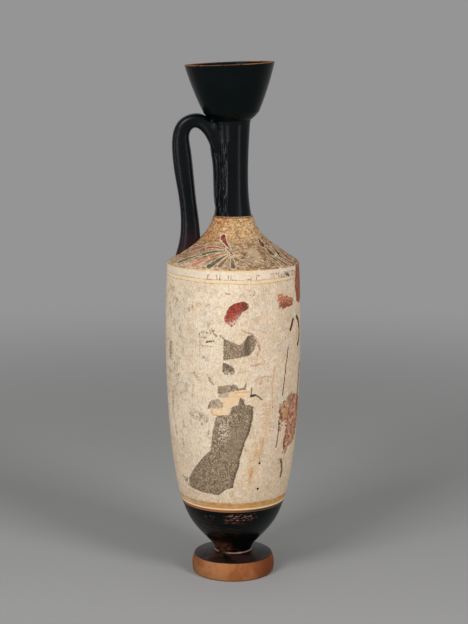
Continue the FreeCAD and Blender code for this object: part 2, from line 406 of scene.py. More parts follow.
class Surface(Nodes):
    """The vase's one material. Places are in millimetres: z up, deg round from the front to the right."""

    def __init__(self, tree):
        super().__init__(tree)
        self.segment = segment_group()
        self.brush = brush_group()
        self.leaf_shape = leaf_group()
        self.field = field_group()
        place = self.add("TexCoord").outputs["Object"]
        self.place = self.along("SCALE", place, scale=MM)
        split = self.add("SeparateXYZ")
        self.feed(split.inputs[0], self.place)
        self.x, self.y, self.z = split.outputs
        self.flat_exact = self.stretched(self.place, 1, 1, 0)
        self.radius = self.along("LENGTH", self.flat_exact)
        turn = self.math("ARCTAN2", self.x, self.times(self.y, -1))
        self.deg = self.math("DEGREES", turn)
        side = self.add("CombineXYZ")
        self.feed(side.inputs[0], self.times(self.deg, DEGREE))
        self.feed(side.inputs[1], self.z)
        unrest = self.noise(self.place, RAGGED_SIZE, 1, output="Color")
        unrest = self.along("SUBTRACT", unrest, (0.5, 0.5, 0.5))
        unrest = self.along("SCALE", unrest, scale=RAGGED_REACH)
        self.side = self.along("ADD", side.outputs[0], unrest)       # the body's side rolled out flat
        self.flat = self.along("ADD", self.flat_exact, unrest)       # the shoulder seen from above
        self.fine = self.noise(self.place, FINE_SIZE, 2)
        self.spots = self.noise(self.place, SPOT_SIZE, 3, 0.65)
        self.clouds = self.noise(self.place, CLOUD_SIZE, 2, 0.55)

    def paint(self, share, tint, strength=None):
        """Lays a coat on all that is painted so far."""
        self.shade = self.mix(share, self.shade, tint, strength)

    def cover(self, share, strength, wear):
        """A worn coat: strength where it holds, with small bare places."""
        held = self.step(self.spots, 0.72 - 0.3 * wear, 0.5 - 0.3 * wear)
        return self.times(share, self.blend(held, strength * (1 - wear), strength))

    def broken(self, low, high, strength):
        """The strength of a stroke that is worn away in small places."""
        return self.times(self.step(self.fine, low, high), strength)

    def sway(self, noise, reach):
        """A wavering to both sides, reach wide in all."""
        return self.times(self.minus(noise, 0.5), reach)

    # strokes and fields

    def away(self, field, points):
        """Distance from a line through points, or from one point."""
        if len(points) == 1:
            return self.along("DISTANCE", field, (*points[0], 0))
        away = None
        for start, end in zip(points, points[1:]):
            way = Vector(end) - Vector(start)
            unit = way / way.length_squared
            here = self.use(self.segment, field, (*start, 0), (*way, 0), (*unit, 0))
            away = here if away is None else self.math("MINIMUM", away, here)
        return away

    def draw(self, field, points, width, tint, strength, soft=0.35):
        """Paints a stroke, as wide as the brush."""
        away = self.away(field, points)
        outer, inner = width / 2 + soft, width / 2 - soft / 2
        self.shade = self.use(self.brush, self.shade, tint, away, outer, inner, strength)

    def mark(self, points, width, tint, strength, soft=0.35):
        """Paints a stroke on the body's side, through (angle, height) places."""
        self.draw(self.side, [(turn * DEGREE, height) for turn, height in points], width, tint, strength, soft)

    def patch(self, across, up, left, right):
        """The field between two edges, each given as (up, across) pairs over the same reach."""
        edges = self.curve(up, left), self.curve(up, right)
        return self.use(self.field, across, up, *edges, left[0][0], left[-1][0], PATCH_EDGE)

    def leaf(self, start, end, width, tint, strength):
        """A palmette's leaf, seen from above."""
        way = Vector(end) - Vector(start)
        unit = way / way.length_squared
        held = self.blend(self.leaf_wear, strength * 0.8, strength)
        self.shade = self.use(
            self.leaf_shape, self.shade, tint, self.flat, (*start, 0), (*way, 0), (*unit, 0),
            LEAF_ROOT / 2, (width - LEAF_ROOT) / 2, held, self.on_shoulder)

    # coats

    def elsewhere(self, shift, stretch):
        """The place, moved and stretched, so that no two coats have the same noise."""
        return self.stretched(self.along("ADD", self.place, shift), *stretch)

    def veins(self, size, width, shift=(0, 0, 0), stretch=(1, 1, 1)):
        """Thin wandering lines."""
        off = self.noise(self.elsewhere(shift, stretch), size, 3, 0.6)
        return self.step(self.math("ABSOLUTE", self.minus(off, 0.5)), width, width * 0.3)

    def flecks(self, size, low, high, shift=(0, 0, 0), stretch=(1, 1, 1), detail=3):
        """1 in small patches, where the noise is above high."""
        return self.step(self.noise(self.elsewhere(shift, stretch), size, detail, 0.7), low, high)


# ---- the painting, in the order in which its coats lie ----

def white_ground(s):
    """The cream slip of the side, with its stains and fine crackle, and painted shade towards its turning edges
    and round the back.
    """
    right = s.step(s.plus(s.deg, s.sway(s.clouds, 60)), -14, 30)
    s.shade = s.mix(right, CREAM, CREAM_RIGHT)
    s.paint(s.flecks(26, 0.45, 0.62, detail=2), CREAM_TAN, 0.5)
    s.paint(s.flecks(15, 0.5, 0.64, (90, 20, 3)), GREY_WHITE, 0.5)
    low = s.step(s.z, 120, 66)
    s.paint(low, rgb(212, 182, 146), 0.4)
    busy = s.blend(s.step(s.clouds, 0.42, 0.6), 0.25, 0.9)
    mottle = s.noise(s.place, 5.5, 3, 0.7)
    s.paint(s.times(s.step(mottle, 0.53, 0.66), busy), CREAM_GREY, 0.6)
    s.paint(s.step(mottle, 0.47, 0.32), CREAM_PALE, 0.5)
    grain = s.noise(s.stretched(s.place, 1, 1, 0.4), 0.95, 2, 0.7)
    s.paint(s.step(grain, 0.52, 0.66), rgb(186, 164, 138), 0.5)
    s.paint(s.step(grain, 0.47, 0.32), CREAM_PALE, 0.7)
    weave = s.noise(s.stretched(s.place, 0.4, 0.4, 1.4), 1.2, 2, 0.6)
    s.paint(s.step(weave, 0.57, 0.68), rgb(204, 180, 150), 0.5)
    # painted shade: the cream darkens towards the side's turning edges and all round the back
    edge = s.step(s.math("ABSOLUTE", s.plus(s.deg, 2)), 60, 92)
    s.paint(edge, STAIN_AND_SHADE, 0.25)
    s.paint(s.flecks(2.6, 0.58, 0.68, (5, 60, 20)), FLECK, 0.5)
    s.paint(s.times(s.flecks(6.5, 0.55, 0.66, detail=4), busy), STAIN_AND_SHADE, 0.45)
    s.paint(s.times(s.veins(5.5, 0.018, stretch=(1, 1, 0.7)), busy), STAIN_AND_SHADE, 0.35)
    s.paint(s.times(s.veins(3.2, 0.025, (30, 7, 80)), busy), FLECK, 0.2)
    left = s.times(s.within(s.deg, -84, -40, 9), s.within(s.z, 96, 222, 10))
    blots = s.flecks(5.0, 0.53, 0.63, (3, 3, 3), (1, 1, 0.7), 4)
    blots = s.times(blots, s.step(s.fine, 0.36, 0.54))
    s.paint(s.times(left, blots), rgb(134, 114, 86), 0.6)
    s.paint(s.flecks(1.2, 0.7, 0.76, detail=1), rgb(140, 116, 92), 0.7)
    s.paint(s.flecks(1.5, 0.73, 0.79, (40, 9, 5), detail=1), rgb(190, 120, 76), 0.7)
    s.paint(s.flecks(0.9, 0.8, 0.84, (11, 70, 5), detail=1), DARK_BROWN, 0.85)


def stains(s):
    """Brown and orange marks of the white ground, and what is left of fine drawing."""
    broken = s.step(s.fine, 0.40, 0.56)
    for points, width, tint, strength in [
        ([(-66, 220.5), (-60, 219.5)], 3.6, ORANGE_STAIN, 0.6),
        ([(-54.7, 212.8)], 1.8, GREY_BROWN, 0.9),
        ([(-39.5, 207), (-36.5, 209)], 3.2, rgb(160, 122, 86), 0.75),
        ([(-35, 206.2), (-31, 211.3)], 2.2, ORANGE, 0.6),
        ([(-22.8, 211.2), (-20, 211.6)], 1.8, TAN, 0.8),
        ([(-67.3, 209), (-67, 204), (-62.9, 199)], 2.2, TAN_DARK, 0.6),
        ([(-65.2, 179), (-66.1, 169)], 5.0, rgb(122, 104, 78), 0.9),
        ([(-58.5, 166.5), (-59.5, 160)], 1.6, TAN_DARK, 0.8),
        ([(-52.7, 158), (-53.5, 153), (-56, 149)], 1.8, GREEN_GREY, 0.6),
        ([(-34, 161), (-30.6, 157)], 3.0, TAN, 0.7),
        ([(-50, 193), (-48.8, 187)], 1.6, GREY_BROWN, 0.55),
        ([(-24.5, 173), (-22.5, 172)], 2.4, TAN_DARK, 0.7),
        ([(-64.4, 143), (-63.8, 137), (-65, 129)], 2.4, TAN_DARK, 0.7),
        ([(-37, 131), (-31, 129.5), (-25, 128)], 7.0, GREY_BROWN, 0.5),
        ([(-58, 80.5), (-54, 79), (-51, 76.5), (-49.5, 74)], 1.5, TAN_DARK, 0.95),
        ([(-53.5, 77.5), (-50.5, 79)], 2.4, DARK_BROWN, 0.8),
        ([(-46, 71), (-41, 68.5), (-36, 69)], 1.2, ORANGE_STAIN, 0.6),
        ([(-62, 118), (-60.5, 112)], 3.0, GREY_BROWN, 0.6),
        ([(-29, 189.8), (-25, 192.2), (-21, 191)], 0.9, TAN_DARK, 0.95),
        ([(-28, 187.6), (-22.5, 188)], 0.7, TAN_DARK, 0.9),
        ([(-22.5, 184.4), (-16, 185.6)], 1.1, DARK_BROWN, 0.9),
        ([(-17.3, 194.5), (-16.5, 191.5), (-14, 189.6)], 1.2, rgb(112, 86, 62), 0.9),
        ([(-19.5, 193), (-18, 190.6)], 0.8, TAN_DARK, 0.8),
        ([(-10.5, 189.8), (-7.2, 187.4)], 1.0, DARK_BROWN, 0.9),
        ([(-28.5, 181.8), (-22, 181.9), (-16.5, 181)], 0.9, RED_LINE, 0.6),
        ([(-20.6, 158.6), (-19, 155.5), (-16.5, 153.9)], 1.0, TAN_DARK, 0.8),
        ([(-35, 152), (-36.2, 144)], 1.4, TAN, 0.7),
        ([(-28.3, 190), (-28.6, 152)], 0.45, TAN_DARK, 0.5),
        ([(-21, 182), (-21.2, 160)], 0.4, RED_FAINT, 0.6),
        ([(13.5, 221.5), (18, 221), (17.5, 218), (14, 218.5)], 0.9, GREY_BROWN, 0.8),
        ([(7.5, 193.4), (11, 192), (15.7, 190.5)], 1.0, RED_BROWN, 0.75),
        ([(15.7, 189), (20, 184), (22.3, 179), (20.4, 175)], 1.1, TAN_DARK, 0.85),
        ([(17.6, 186.6), (21, 182.4), (24.4, 177)], 0.6, RED_FAINT, 0.8),
        ([(2.4, 186.7)], 1.0, TAN_DARK, 0.8),
        ([(18.6, 205.7), (24.8, 205.4)], 0.6, FLECK, 0.9),
        ([(19.5, 202.5), (23.5, 202.8)], 0.5, FLECK, 0.7),
        ([(46.5, 190.6), (52.7, 192.6)], 0.8, RED_FAINT, 0.7),
        ([(44.0, 190.7)], 1.2, CREAM_GREY, 0.9),
        ([(12, 172), (26, 172.6), (28, 168)], 0.5, FLECK, 0.7),
        ([(25.5, 200), (26.3, 172)], 0.35, FLECK, 0.5),
    ]:
        s.mark(points, width, tint, s.times(broken, strength))


def shoulder(s):
    """The tan slope with orange stains round the neck."""
    tan = s.mix(s.step(s.clouds, 0.35, 0.65), rgb(162, 127, 92), rgb(188, 156, 120))
    tan = s.mix(s.step(s.spots, 0.47, 0.64), tan, rgb(116, 86, 62), 0.8)
    near = s.step(s.radius, 30, 17)
    left = s.step(s.deg, 12, -30)
    tan = s.mix(near, tan, rgb(208, 176, 128), 0.5)
    tan = s.mix(s.times(s.flecks(6.0, 0.4, 0.56), near, s.blend(left, 0.5, 0.8)), tan, YELLOW_STAIN)
    orange = s.flecks(4.4, 0.43, 0.56)
    tan = s.mix(s.times(orange, near, s.blend(left, 0.3, 0.95)), tan, ORANGE_STAIN)
    rust = s.times(s.flecks(3.0, 0.5, 0.6, (70, 1, 3)), near, left)
    tan = s.mix(rust, tan, rgb(150, 84, 44), 0.75)
    blotch = s.times(s.flecks(2.6, 0.56, 0.63, (19, 31, 3)), near)
    tan = s.mix(blotch, tan, rgb(112, 78, 48), 0.75)
    chalk = s.times(s.flecks(2.4, 0.56, 0.64, (44, 2, 13)), near)
    tan = s.mix(chalk, tan, rgb(232, 206, 164), 0.75)
    rim = s.times(s.step(s.radius, 39, 46), s.step(s.deg, 20, -30))
    tan = s.mix(rim, tan, CREAM_TAN, 0.5)
    streaks = s.noise(s.stretched(s.place, 0.45, 0.45, 2.0), 2.3, 3, 0.7)
    patchy = s.blend(s.flecks(8, 0.42, 0.6, (3, 1, 77)), 0.25, 0.9)
    patchy = s.times(patchy, s.minus(1, s.times(near, 0.8)))
    tan = s.mix(s.times(s.step(streaks, 0.54, 0.62), patchy), tan, rgb(98, 74, 54))
    pale = s.times(s.step(streaks, 0.46, 0.37), s.blend(near, 0.65, 0.25))
    tan = s.mix(pale, tan, rgb(224, 199, 164))
    tan = s.mix(s.flecks(3.0, 0.59, 0.66, (7, 3, 50)), tan, rgb(88, 62, 42), 0.8)
    tan = s.mix(s.flecks(2.0, 0.59, 0.66, stretch=(1, 1, 2.2)), tan, CREAM, 0.7)
    tan = s.mix(s.veins(4, 0.03, (9, 50, 2)), tan, rgb(96, 68, 48), 0.6)
    s.on_shoulder = s.step(s.z, CORNER - 0.5, CORNER + 0.3)
    s.paint(s.on_shoulder, tan)


def bands(s):
    """The ruled lines: one at the shoulder's edge, two under the key pattern, three above the black."""
    z = s.plus(s.z, s.sway(s.clouds, 1.2))
    band = s.within(z, *KEY_BAND, 0.8)
    s.paint(band, rgb(236, 222, 200), 0.4)
    worn = s.blend(s.step(s.spots, 0.62, 0.42), 0.25, 1.0)
    left = s.step(s.deg, 34, 6)
    broken = s.blend(s.step(s.fine, 0.6, 0.44), 0.4, 1)
    edge = s.times(s.within(z, *EDGE_LINE, 0.35), worn, broken)
    s.paint(s.times(edge, s.blend(left, 0.3, 0.85)), OCHRE_PALE)
    far = s.times(s.math("ABSOLUTE", s.minus(s.deg, 20)), 0.018)
    high = s.minus(z, s.plus(DOUBLE_LINE, far))
    s.paint(s.within(high, 0.2, 2.4, 0.5), rgb(242, 214, 158), 0.35)
    low_line = s.step(s.math("ABSOLUTE", high), 0.55, 0.15)
    top_line = s.step(s.math("ABSOLUTE", s.minus(high, LINE_GAP)), 0.55, 0.15)
    s.paint(s.times(s.math("MAXIMUM", low_line, top_line), worn), rgb(196, 146, 84), 0.72)
    thin = s.blend(s.step(s.deg, -60, -20), 0.45, 1.0)
    uneven = s.blend(s.step(s.noise(s.stretched(s.place, 1, 1, 3), 4, 2), 0.4, 0.6), 0.72, 1)
    s.paint(s.times(s.within(s.z, *OCHRE_BAND, 0.45), thin, uneven), OCHRE)
    tired = s.times(s.within(s.z, *TIRED_BAND, 0.5), s.step(s.spots, 0.46, 0.6), 0.6)
    s.paint(tired, rgb(176, 124, 62))
    s.paint(s.within(s.z, *CREAM_BAND, 0.2), rgb(250, 224, 184), 0.95)
    brown = s.mix(s.step(s.deg, 0, 40), rgb(164, 100, 56), rgb(196, 150, 96))
    s.paint(s.within(s.z, *BROWN_BAND, 0.2), brown)


def key_pattern(s):
    """What is left of the meander between the shoulder's line and the double line."""
    faded = s.broken(0.62, 0.46, 0.9)
    for turn, height, arms in [
        (-22, 2.9, "[_"), (-13.5, 3.2, "||"), (-4, 3.0, "||_"), (12.5, 2.4, "_|"), (20, 2.8, "|^"),
        (34, 3.0, "[|^"), (45, 2.8, "|_|"), (52, 3.0, "^|"), (61, 3.2, "[^|"),
    ]:
        foot, top = KEY_FOOT, KEY_FOOT + height
        for i, arm in enumerate(arms):
            u = turn * DEGREE + KEY_PITCH * i
            ends = {
                "|": [(u, foot), (u, top)],
                "_": [(u - 0.9, foot + 0.2), (u + 1.0, foot + 0.2)],
                "^": [(u - 0.9, top), (u + 1.0, top - 0.1)],
                "[": [(u + 1.1, top), (u, top), (u, foot + 0.2)],
            }[arm]
            s.draw(s.side, ends, 0.7, TAN_DARK, faded, 0.3)
    grime = s.times(s.within(s.z, 229.2, 233.6, 0.6), s.step(s.deg, 34, 44))
    s.paint(s.times(grime, s.flecks(1.6, 0.52, 0.6, (1, 8, 6))), TAN_DARK, 0.8)
    s.mark([(51, 231.6), (55, 230.2)], 1.5, rgb(60, 50, 44), 0.85)
    s.mark([(42, 230.5), (46, 231.5)], 0.8, ORANGE, 0.5)


def worn_cloth(s):
    """Grey-brown paint, finely pitted, of the nearer figure's dress."""
    pits = s.noise(s.stretched(s.place, 1, 1, 0.8), 1.0, 3, 0.75)
    cloth = s.mix(s.step(pits, 0.43, 0.55), rgb(100, 82, 65), rgb(160, 138, 112))
    cloth = s.mix(s.step(pits, 0.58, 0.65), cloth, rgb(212, 190, 160), 0.8)
    cloth = s.mix(s.step(pits, 0.42, 0.34), cloth, rgb(56, 44, 36), 0.85)
    cloth = s.mix(s.step(s.spots, 0.5, 0.62), cloth, rgb(96, 78, 62), 0.4)
    cloth = s.mix(s.flecks(4.0, 0.52, 0.64, (60, 3, 9)), cloth, rgb(182, 160, 132), 0.4)
    pale = s.times(s.within(s.deg, -12, -3, 3), s.within(s.z, 112, 128, 5))
    cloth = s.mix(s.times(pale, s.step(pits, 0.48, 0.58)), cloth, CREAM_PALE, 0.7)
    smooth = s.times(s.within(s.deg, -6, 9, 4), s.within(s.z, 96, 122, 6))
    return s.mix(smooth, cloth, rgb(146, 125, 102), 0.45)


def near_figure(s):
    """The worn standing figure in front: fields of its long dress, its girdle and its red hair."""
    ragged = s.sway(s.fine, 3.4)
    across = s.plus(s.deg, ragged)
    up = s.plus(s.z, s.times(ragged, 0.6))
    peach = s.patch(
        up, across,
        [(-8.5, 136.6), (-1.7, 138), (4.2, 139.6), (5, 143.6), (12.8, 145.5)],
        [(-8.5, 144.4), (-3.3, 144.6), (-3, 147.6), (4, 148.8), (12.8, 149.5)])
    s.paint(s.times(peach, s.blend(s.step(s.fine, 0.34, 0.6), 0.3, 0.85)), PEACH)
    lobe = s.patch(
        across, up, [(131.2, -17.2), (133.5, -18.3), (136.4, -17.6)], [(131.2, -3), (136.4, -2.2)])
    s.paint(s.times(lobe, s.blend(s.step(s.fine, 0.34, 0.6), 0.1, 0.7)), PEACH)
    worn = s.broken(0.34, 0.52, 0.85)
    s.mark([(-10, 136.7), (-17, 135.9), (-18.4, 133.5), (-17, 131.3), (-12, 131)], 0.8, ORANGE, worn, 0.5)
    s.mark([(0.4, 148.2), (12.6, 148.7)], 0.7, ORANGE, worn)
    s.mark([(0.4, 145.6), (8, 145.4)], 0.5, ORANGE, 0.5)
    cloth = worn_cloth(s)
    skirt_right = [
        (69.9, -14.6), (74.4, -7.2), (76.1, 0.2), (81.2, 0.9), (92.7, 5.5), (98.4, 6.2), (111.5, 10.8),
        (119, 14.7), (129.4, 17.3), (136.8, 17.2), (138.5, 14.3), (139, 9.9), (143.4, 8.4), (144.4, 6.6)]
    skirt_left = [
        (69.9, -16), (70.6, -30), (72.6, -46.5), (74.8, -48.5), (79.6, -47.5), (86.8, -40.9), (98.9, -27.6),
        (104.7, -20), (118.8, -17.8), (125.2, -16.1), (131, -14), (131.6, -3), (137.7, -1), (139.2, 4.3),
        (144.4, 5.8)]
    skirt = s.patch(across, up, skirt_left, skirt_right)
    s.paint(skirt, cloth, 0.96)
    rim = s.step(s.minus(s.curve(up, skirt_right), across), 3.6, 0.8)
    s.paint(s.times(skirt, rim), DARK_BROWN, 0.6)
    bodice = s.patch(
        up, across,
        [(-7.8, 171.7), (-0.8, 172.8), (6.2, 174), (13.7, 175.3), (17.7, 179.3), (18.9, 184)],
        [(-7.8, 187.4), (-0.7, 185.4), (5.3, 183), (8.2, 184.5), (10.4, 187.4), (12, 189.4), (16.8, 190.3),
         (18.9, 187)])
    s.paint(bodice, cloth, 0.93)
    s.paint(s.times(bodice, s.within(s.deg, 9, 14, 1.5)), DARK_BROWN, 0.6)
    sleeve = s.patch(
        up, across, [(-8.6, 162.5), (-6.6, 161.6), (-0.2, 161), (1.8, 163)],
        [(-8.6, 170.4), (-3.1, 168.9), (0.4, 166.4), (1.8, 163.8)])
    held = s.blend(s.step(s.z, 161, 166), s.step(s.fine, 0.44, 0.54), 1)
    s.paint(s.times(sleeve, held), s.mix(0.35, cloth, rgb(70, 58, 48)), 0.95)
    girdle = s.patch(
        up, across,
        [(-12.9, 147.2), (-12, 146.5), (-3.1, 148.8), (4.5, 149.8), (10.4, 150.3), (11.3, 151.5)],
        [(-12.9, 152.8), (2.1, 154.3), (5.1, 151.4), (9.4, 151.8), (10.6, 156.4), (11.3, 156.4)])
    s.paint(girdle, cloth, 0.9)
    s.paint(s.patch(up, across, [(-12, 144.4), (-3.4, 144.6)], [(-12, 149), (-3.4, 149)]), cloth, 0.5)
    fold = s.patch(
        up, across, [(-21.5, 135.3), (-16.9, 136.5), (-8.3, 137.2)],
        [(-21.5, 137.2), (-19, 141.7), (-11.8, 143.5), (-8.3, 140)])
    s.paint(s.cover(fold, 0.85, 0.35), cloth)
    s.mark([(-21.6, 135.6), (-19.4, 140.4)], 0.9, RED_LINE, 0.7)
    hair = s.patch(
        across, up,
        [(196.3, -1.2), (197.5, -4.1), (198.9, -6.5), (202.4, -7.1), (206.5, -5.3), (210.6, -3),
         (213.1, 1.6), (214.3, 7)],
        [(196.3, -0.8), (197.5, 2.1), (200, 1.8), (202.5, 5), (206.6, 7.6), (208.5, 11.9), (210.3, 12.9),
         (211.9, 12.6), (213.7, 10.2), (214.3, 8)])
    locks = s.noise(s.place, 1.6, 2, 0.6)
    red = s.mix(s.step(locks, 0.42, 0.56), RED_DARK, RED)
    gaps = s.times(s.flecks(1.1, 0.6, 0.66, (2, 9, 31)), s.step(s.z, 213, 203))
    red = s.mix(gaps, red, rgb(232, 150, 124))
    dark = s.step(s.plus(s.deg, s.sway(s.spots, 8)), 5, 10)
    red = s.mix(s.times(dark, s.step(s.fine, 0.6, 0.5)), red, rgb(78, 50, 44))
    slant = s.plus(s.z, s.times(s.deg, -0.5))
    held = s.blend(s.step(slant, 196, 206), s.step(locks, 0.46, 0.54), 1)
    s.paint(s.times(hair, held), red, 0.97)


def far_figure(s):
    """The figure on the right, of which the red cloth, the crown of the head and some lines are left."""
    ragged = s.sway(s.spots, 9)
    across = s.plus(s.deg, ragged)
    up = s.plus(s.z, s.times(ragged, 0.5))
    pits = s.noise(s.place, 1.5, 3, 0.75)
    rust = s.mix(s.step(pits, 0.44, 0.56), rgb(136, 60, 42), rgb(178, 104, 72))
    rust = s.mix(s.flecks(3.4, 0.53, 0.62, (4, 44, 8)), rust, rgb(222, 180, 136), 0.85)
    rust = s.mix(s.flecks(1.6, 0.62, 0.68, (14, 4, 18)), rust, rgb(84, 34, 26), 0.85)
    robe = s.patch(
        across, up,
        [(97, 55), (105, 50.4), (117, 53.3), (120.7, 53.4), (124.8, 44.5), (132.2, 43.7), (138.2, 49.3),
         (141.7, 60)],
        [(97, 56.7), (102.1, 60.2), (104.2, 74), (119.4, 82), (134.8, 84), (139.6, 76), (141.7, 64)])
    s.paint(s.cover(robe, 0.95, 0.35), rust)
    s.mark([(50, 132.5), (51, 127)], 4.4, rgb(206, 164, 104), s.broken(0.4, 0.56, 0.9), 1.4)
    s.mark([(55, 139.5), (61, 141.5)], 3.4, GREY_BROWN, s.broken(0.44, 0.56, 0.9), 1.2)
    for points in [
        [(44.5, 136), (44, 131), (46.5, 127)],
        [(47, 124), (44.5, 121), (46, 117)],
        [(53.5, 111), (52, 106), (53.5, 101)],
    ]:
        s.mark(points, 1.6, rgb(110, 44, 34), s.broken(0.42, 0.54, 0.95), 0.6)
    for place in [
        (47, 129), (46, 126), (51.5, 124.5), (50, 134), (57, 128), (66, 131), (62, 118), (54, 103), (43.5, 131),
        (45, 122), (48, 120), (53, 119), (56, 123.5), (44, 117), (59, 135), (49, 137.5), (60, 110), (52, 99),
    ]:
        s.mark([place], 1.3, rgb(92, 44, 34), 0.85, 0.6)
    crown = s.patch(
        up, across, [(40.2, 214.5), (42, 210), (44.4, 206.7), (54.2, 207.1), (61.5, 208.5)],
        [(40.2, 218.3), (47.7, 217), (56.1, 214.2), (61.5, 212)])
    tint = s.mix(s.step(s.z, 214, 208.5), rgb(184, 104, 70), rgb(138, 58, 38))
    held = s.blend(s.step(s.z, 219, 211), s.flecks(2.2, 0.38, 0.5, (21, 4, 3)), 1)
    s.paint(s.times(crown, held), tint, 0.92)
    pale = s.times(crown, s.flecks(1.3, 0.6, 0.66, (9, 14, 3), detail=1), 0.8)
    s.paint(pale, CREAM_RIGHT)


def lines(s):
    """Thin lines that are left of the drawing, and small marks and damage."""
    for points, width, tint, strength in [
        ([(37.5, 165), (34.6, 152.7), (35, 142.3), (35.9, 135.5)], 0.5, RED_FAINT, 0.8),
        ([(35.9, 135.2)], 1.1, RED_DARK, 0.85),
        ([(35.9, 135), (31.3, 131.5), (29.3, 122.7)], 0.7, ORANGE, 0.45),
        ([(53, 178), (50.2, 163.4), (46.8, 143.2)], 0.95, rgb(118, 54, 44), 0.95),
        ([(43.7, 127), (43.5, 114), (42.3, 104.3)], 0.95, rgb(112, 52, 44), 0.95),
        ([(60.5, 197.3), (58.6, 193.6), (56.4, 190.4)], 2.4, rgb(104, 20, 24), 1.0),
        ([(54.1, 188), (47, 183), (39.7, 180.2)], 0.4, TAN_DARK, 0.45),
        ([(68, 198.6), (71.5, 196), (74, 192.2), (75.8, 188), (75.6, 183.6), (73.8, 180), (71, 177.3)],
         2.5, rgb(62, 36, 24), 1.0),
        ([(79, 162), (76.4, 149.6), (74.2, 133)], 3.2, rgb(124, 58, 42), 0.9),
        ([(15, 167.9), (18, 167.4), (23, 168.8)], 0.8, PINK, 0.65),
        ([(17, 155.7), (22, 157.9), (27.1, 159), (34.1, 158.1)], 0.5, RED_FAINT, 0.75),
        ([(24.5, 157), (23, 153.5)], 0.8, RED_FAINT, 0.7),
        ([(17, 190), (19, 188.2), (22.3, 182.6), (22.2, 179)], 0.5, rgb(158, 104, 80), 0.6),
        ([(-10.6, 177), (-10.7, 165.7)], 0.4, RED_FAINT, 0.5),
        ([(-19.6, 179.2), (-20.3, 169.4)], 0.4, RED_FAINT, 0.45),
        ([(15.7, 151), (15.2, 145.3)], 0.7, GREEN_GREY, 0.9),
        ([(15.4, 145.3), (18.5, 145.9)], 1.7, GREEN_BROWN, 0.95),
        ([(18.5, 145.9), (21.3, 145), (24.7, 141.9)], 0.8, GREEN_BROWN, 0.9),
        ([(-22, 184.9), (-18.5, 185.4)], 0.9, DARK_BROWN, 0.75),
        ([(-13.8, 189.4)], 1.2, DARK_BROWN, 0.8),
        ([(-16.4, 192.1), (-15.2, 193.6)], 0.7, GREY_BROWN, 0.7),
        ([(-8.2, 188.1)], 1.2, DARK_BROWN, 0.8),
        ([(-5.7, 219.8), (-3.1, 219.6)], 0.9, GREY_BROWN, 0.85),
        ([(-19.8, 158.1), (-16.8, 154.6)], 0.6, GREY_BROWN, 0.6),
        ([(51, 214.6)], 1.2, DARK_BROWN, 0.9),
        ([(25, 94.1)], 1.9, BLACK, 1.0),
        ([(25, 97.4), (25, 94.6)], 0.4, GREY_BROWN, 0.6),
        ([(24.9, 74.3)], 2.1, BLACK, 1.0),
        ([(46.9, 94.8), (50.5, 92)], 0.9, GREY_BROWN, 0.6),
        ([(50.5, 93.5), (52.6, 88.8), (53.6, 84.8), (52.9, 80.2)], 2.3, rgb(96, 80, 58), 0.9),
        ([(38, 77.2)], 1.4, GREY_BROWN, 0.5),
        ([(27.5, 113.5), (27.5, 107.2)], 1.0, rgb(150, 132, 138), 0.6),
        ([(-27.9, 129.6)], 2.6, GREY_BROWN, 0.6),
        ([(-27.8, 123.6)], 2.2, GREY_BROWN, 0.55),
        ([(-21.4, 119.6), (-21.6, 116.5)], 1.3, GREY_BROWN, 0.5),
        ([(-52, 218), (-50, 217)], 1.0, ORANGE, 0.8),
        ([(-45.3, 213.8)], 1.0, RED_BROWN, 0.6),
        ([(-12, 66.4), (2, 67.3), (14, 67.2)], 0.5, ORANGE, 0.35),
    ]:
        s.mark(points, width, tint, strength)
    wash = s.step(s.spots, 0.34, 0.6)
    s.mark([(24.5, 108), (19.5, 95), (15.1, 80)], 6.0, OCHRE_WASH, s.times(wash, 0.6), 4.5)
    s.mark([(31, 137), (30, 122), (26, 108)], 3.0, OCHRE_WASH, s.times(wash, 0.45), 3.5)
    s.mark([(17.4, 90), (16, 80)], 2.0, ORANGE_STAIN, s.broken(0.44, 0.56, 0.6), 1.0)
    spray = s.times(s.step(s.noise(s.place, 1.3, 2, 0.6), 0.6, 0.68), 0.75)
    for place in [(28, 133), (33, 120), (22, 128), (25, 101), (52, 92), (47, 86), (36, 92)]:
        s.mark([place], 9.0, RED_BROWN, spray, 4.0)


def bare_strip(s):
    """Where the slip has come off on the right, below the shoulder's corner."""
    ragged = s.sway(s.fine, 2.0)
    behind = s.step(s.deg, 74, 86)
    wander = s.times(s.sway(s.clouds, 60), behind)
    across = s.plus(s.plus(s.deg, ragged), wander)
    up = s.plus(s.z, s.times(s.sway(s.spots, 22), behind))
    strip = s.patch(
        across, up,
        [(208, 73), (210.1, 68.2), (215.7, 67.4), (220.4, 65.1), (225.4, 66.4), (232.5, 68.4), (239, 69)],
        [(208, 82), (211, 90), (216, 97), (223, 101), (230, 98), (239, 92)])
    strip = s.times(strip, s.step(s.z, CORNER + 0.4, CORNER))
    clay = s.mix(s.step(s.spots, 0.42, 0.6), CLAY_STRIP, rgb(136, 70, 48))
    clay = s.mix(s.flecks(1.8, 0.56, 0.64, (6, 22, 1)), clay, rgb(96, 48, 34), 0.6)
    slip = s.times(s.flecks(2.6, 0.57, 0.62, (9, 2, 61)), behind)
    s.paint(s.times(strip, s.blend(slip, 0.95, 0.2)), clay)


